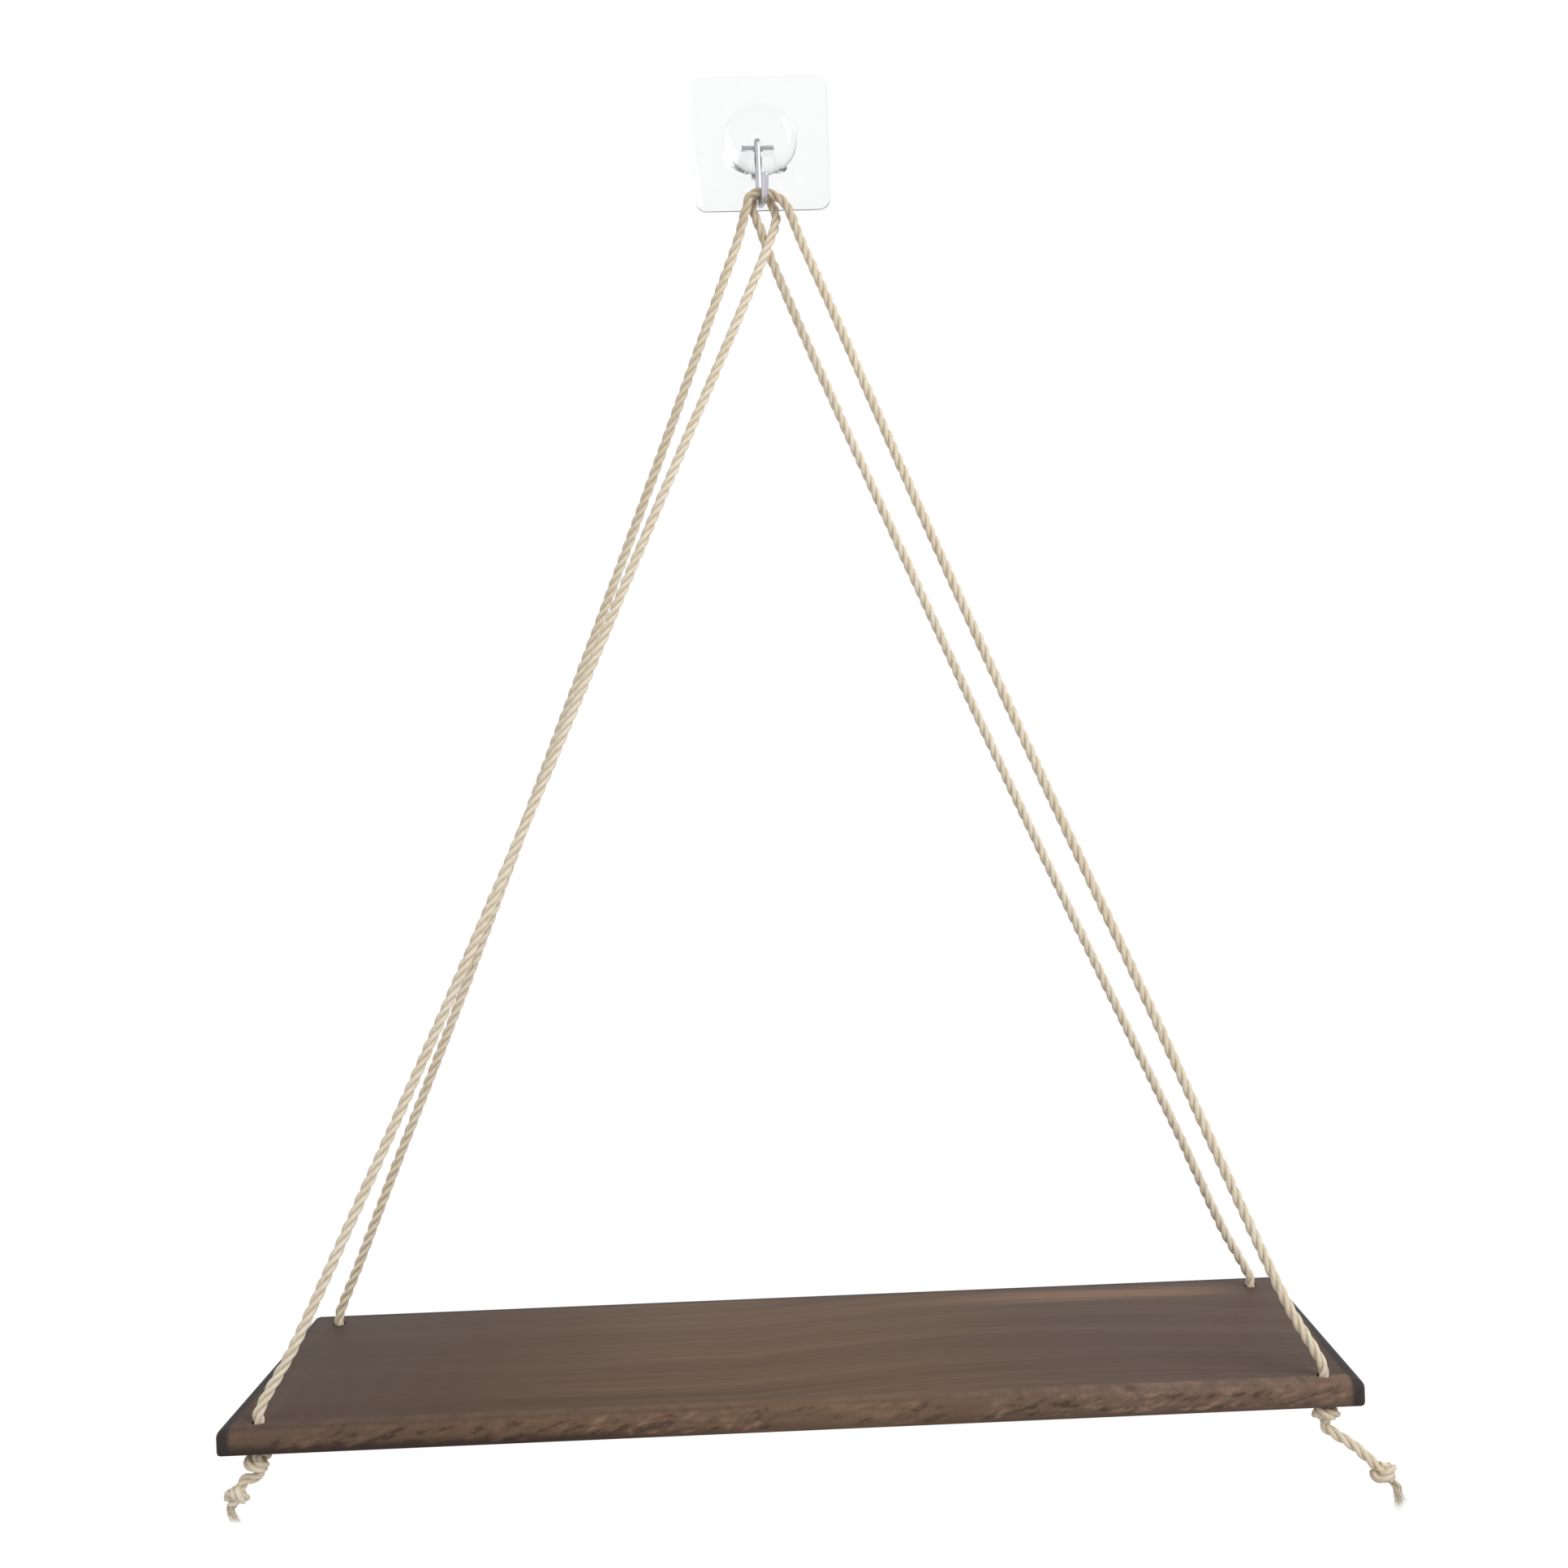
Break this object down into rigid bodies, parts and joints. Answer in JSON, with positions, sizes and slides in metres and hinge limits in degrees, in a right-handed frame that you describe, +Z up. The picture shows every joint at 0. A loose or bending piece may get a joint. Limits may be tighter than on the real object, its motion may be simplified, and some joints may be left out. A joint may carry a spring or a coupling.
{
  "type": "hanging rope shelf",
  "caption": "Stained wooden plank shelf hung on knotted twisted ropes from a clear stick-on wall hook with a swinging steel wire hook.",
  "frame": {"origin": "middle of the adhesive film's back face, on the wall", "axes": "+X to the right for someone who faces the wall, +Y into the wall, +Z up"},
  "size_m": [0.4466, 0.1305, 0.5972],
  "materials": {
    "clear_plastic": "clear gloss",
    "adhesive": "clear film",
    "steel": "bright drawn wire",
    "stained_wood": "dark stain, satin",
    "rope": "twisted natural fibre"
  },
  "bodies": {
    "wall_mount": {"adhesive_film": "adhesive", "hook_plate": "clear_plastic", "hook_boss": "clear_plastic", "pivot_pin": "steel"},
    "hook": {"wire_hook": "steel"},
    "shelf": {"board": "stained_wood", "rope_crossed": "rope", "rope_open": "rope", "stopper_knot_front_left": "rope", "stopper_knot_front_right": "rope", "stopper_knot_back_left": "rope", "stopper_knot_back_right": "rope", "tail_front_left": "rope", "tail_front_right": "rope", "tail_back_left": "rope", "tail_back_right": "rope", "end_knot_front_left": "rope", "end_knot_front_right": "rope", "end_knot_back_left": "rope", "end_knot_back_right": "rope", "frayed_end_front_left": "rope", "frayed_end_front_right": "rope", "frayed_end_back_left": "rope", "frayed_end_back_right": "rope"}
  },
  "joints": [
    {"name": "hook_pivot", "type": "hinge", "parent": "wall_mount", "child": "hook", "pos_m": [0, -0.0069, -0.0045], "axis": [-1, 0, 0], "range_deg": [0, 60]},
    {"name": "sway", "type": "hinge", "parent": "hook", "child": "shelf", "pos_m": [0, -0.01575, -0.031], "axis": [0, -1, 0], "range_deg": [-10, 10]}
  ]
}
